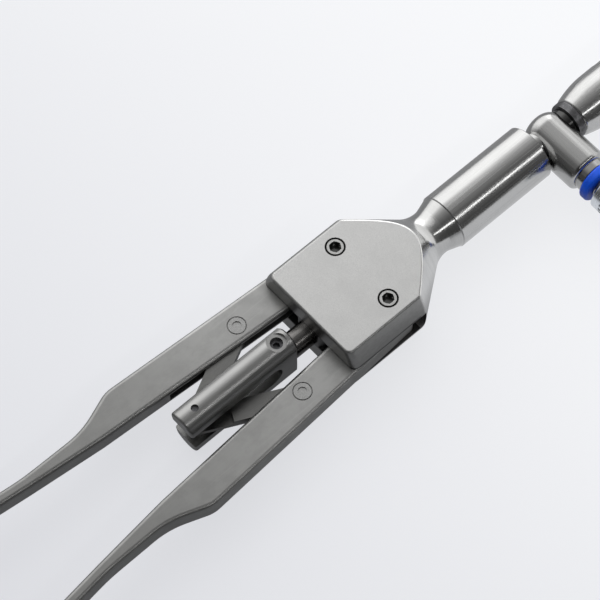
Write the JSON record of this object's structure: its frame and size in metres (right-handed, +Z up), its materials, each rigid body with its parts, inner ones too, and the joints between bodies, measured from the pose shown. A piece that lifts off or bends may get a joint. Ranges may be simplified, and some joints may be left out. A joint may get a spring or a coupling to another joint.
{
  "type": "clip applier",
  "caption": "Surgical clip applier: squeeze handle with two sprung arms, slider and links, turning shaft with flush port and knob, and jaws that close as the arms are squeezed.",
  "frame": {"origin": "on the underside flat of the handle body, midway between the two arm pivots", "axes": "+X along the instrument towards the jaws, +Y towards the left arm, +Z up out of the body's top flat"},
  "size_m": [0.5857, 0.0533, 0.0187],
  "materials": {
    "body_steel": "satin, bead-blasted flats with polished cone",
    "turned_steel": "turned and brushed lengthwise",
    "screw_steel": "satin",
    "arm_steel": "satin, brushed lengthwise",
    "rivet_steel": "ground flush, satin",
    "link_steel": "satin",
    "slider_steel": "satin",
    "rod_steel": "ground",
    "dark_steel": "dark",
    "spring_steel": "drawn wire",
    "bush_steel": "dark plain bearing",
    "seal_rubber": "matt black",
    "blue_rubber": "smooth bright blue",
    "gasket_rubber": "matt white",
    "polished_steel": "polished",
    "cap_steel": "ribbed, satin",
    "collar_steel": "dark satin",
    "tube_steel": "satin tube",
    "jaw_steel": "fine satin"
  },
  "bodies": {
    "handle": {"handle_body": "body_steel", "barrel": "turned_steel", "left_pivot_screw": "screw_steel", "right_pivot_screw": "screw_steel", "return_spring": "spring_steel", "swivel_bush": "bush_steel"},
    "left_arm": {"left_arm": "arm_steel", "left_link_rivet": "rivet_steel"},
    "right_arm": {"right_arm": "arm_steel", "right_link_rivet": "rivet_steel"},
    "left_link": {"left_link": "link_steel"},
    "right_link": {"right_link": "link_steel"},
    "slider": {"slider": "slider_steel", "slider_set_screw": "dark_steel", "slider_pin": "dark_steel", "link_spacers": "link_steel", "plunger_rod": "rod_steel", "spring_seat": "rod_steel", "plunger_circlip": "dark_steel"},
    "shaft": {"journal_circlip": "dark_steel", "port_block": "turned_steel", "rod_seals": "seal_rubber", "port_nipple": "polished_steel", "port_seal_ring": "blue_rubber", "knob_collar": "collar_steel", "rotation_knob": "turned_steel", "knob_screw": "dark_steel", "shaft_tube": "tube_steel", "jaw_clevis": "jaw_steel", "jaw_pivot_pin": "polished_steel"},
    "cap_gasket": {"cap_gasket": "gasket_rubber"},
    "port_cap": {"port_cap": "cap_steel"},
    "pull_rod": {"pull_rod": "rod_steel", "rod_tang": "jaw_steel", "drive_pin": "polished_steel"},
    "upper_jaw": {"upper_jaw": "jaw_steel"},
    "lower_jaw": {"lower_jaw": "jaw_steel"}
  },
  "joints": [
    {"name": "arm_squeeze", "type": "hinge", "parent": "handle", "child": "left_arm", "pos_m": [0, 0.01003, 0.00935], "axis": [0, 0, 1], "range_deg": [0, 5], "stiffness_Nm_per_rad": 0.9, "springref_deg": -9.74},
    {"name": "right_arm_squeeze", "type": "hinge", "parent": "handle", "child": "right_arm", "pos_m": [0, -0.01003, 0.00935], "axis": [0, 0, 1], "range_deg": [-5, 0]},
    {"name": "left_link_turn", "type": "hinge", "parent": "left_arm", "child": "left_link", "pos_m": [-0.0318, 0.01257, 0.00935], "axis": [0, 0, 1], "range_deg": [-11.25, 0]},
    {"name": "right_link_turn", "type": "hinge", "parent": "right_arm", "child": "right_link", "pos_m": [-0.0318, -0.01257, 0.00935], "axis": [0, 0, 1], "range_deg": [0, 11.25]},
    {"name": "slider_slide", "type": "slide", "parent": "handle", "child": "slider", "axis": [1, 0, 0], "range_m": [-0.00133, 0], "deforming": ["return_spring"]},
    {"name": "shaft_turn", "type": "hinge", "parent": "handle", "child": "shaft", "pos_m": [0.06827, 0, 0.00935], "axis": [1, 0, 0], "continuous": true},
    {"name": "cap_lift", "type": "slide", "parent": "shaft", "child": "cap_gasket", "axis": [0, -1, 0], "range_m": [0, 0.004]},
    {"name": "cap_turn", "type": "hinge", "parent": "cap_gasket", "child": "port_cap", "pos_m": [0.06827, -0.025, 0.00935], "axis": [0, -1, 0], "range_deg": [0, 360]},
    {"name": "pull_rod_slide", "type": "slide", "parent": "shaft", "child": "pull_rod", "axis": [1, 0, 0], "range_m": [-0.00133, 0]},
    {"name": "upper_jaw_turn", "type": "hinge", "parent": "shaft", "child": "upper_jaw", "pos_m": [0.42127, 0, 0.00935], "axis": [0, 1, 0], "range_deg": [0, 12.02]},
    {"name": "lower_jaw_turn", "type": "hinge", "parent": "shaft", "child": "lower_jaw", "pos_m": [0.42127, 0, 0.00935], "axis": [0, 1, 0], "range_deg": [-12.02, 0]}
  ],
  "couplings": [
    {"joint": "right_arm_squeeze", "follows": "arm_squeeze", "ratio": -1},
    {"joint": "left_link_turn", "follows": "arm_squeeze", "ratio": -2.2462},
    {"joint": "right_link_turn", "follows": "arm_squeeze", "ratio": 2.2462},
    {"joint": "slider_slide", "follows": "arm_squeeze", "m_per_rad": -0.015096},
    {"joint": "pull_rod_slide", "follows": "arm_squeeze", "m_per_rad": -0.015096},
    {"joint": "upper_jaw_turn", "follows": "arm_squeeze", "ratio": 2.4},
    {"joint": "lower_jaw_turn", "follows": "arm_squeeze", "ratio": -2.4},
    {"joint": "cap_turn", "follows": "cap_lift", "rad_per_m": 1570}
  ]
}
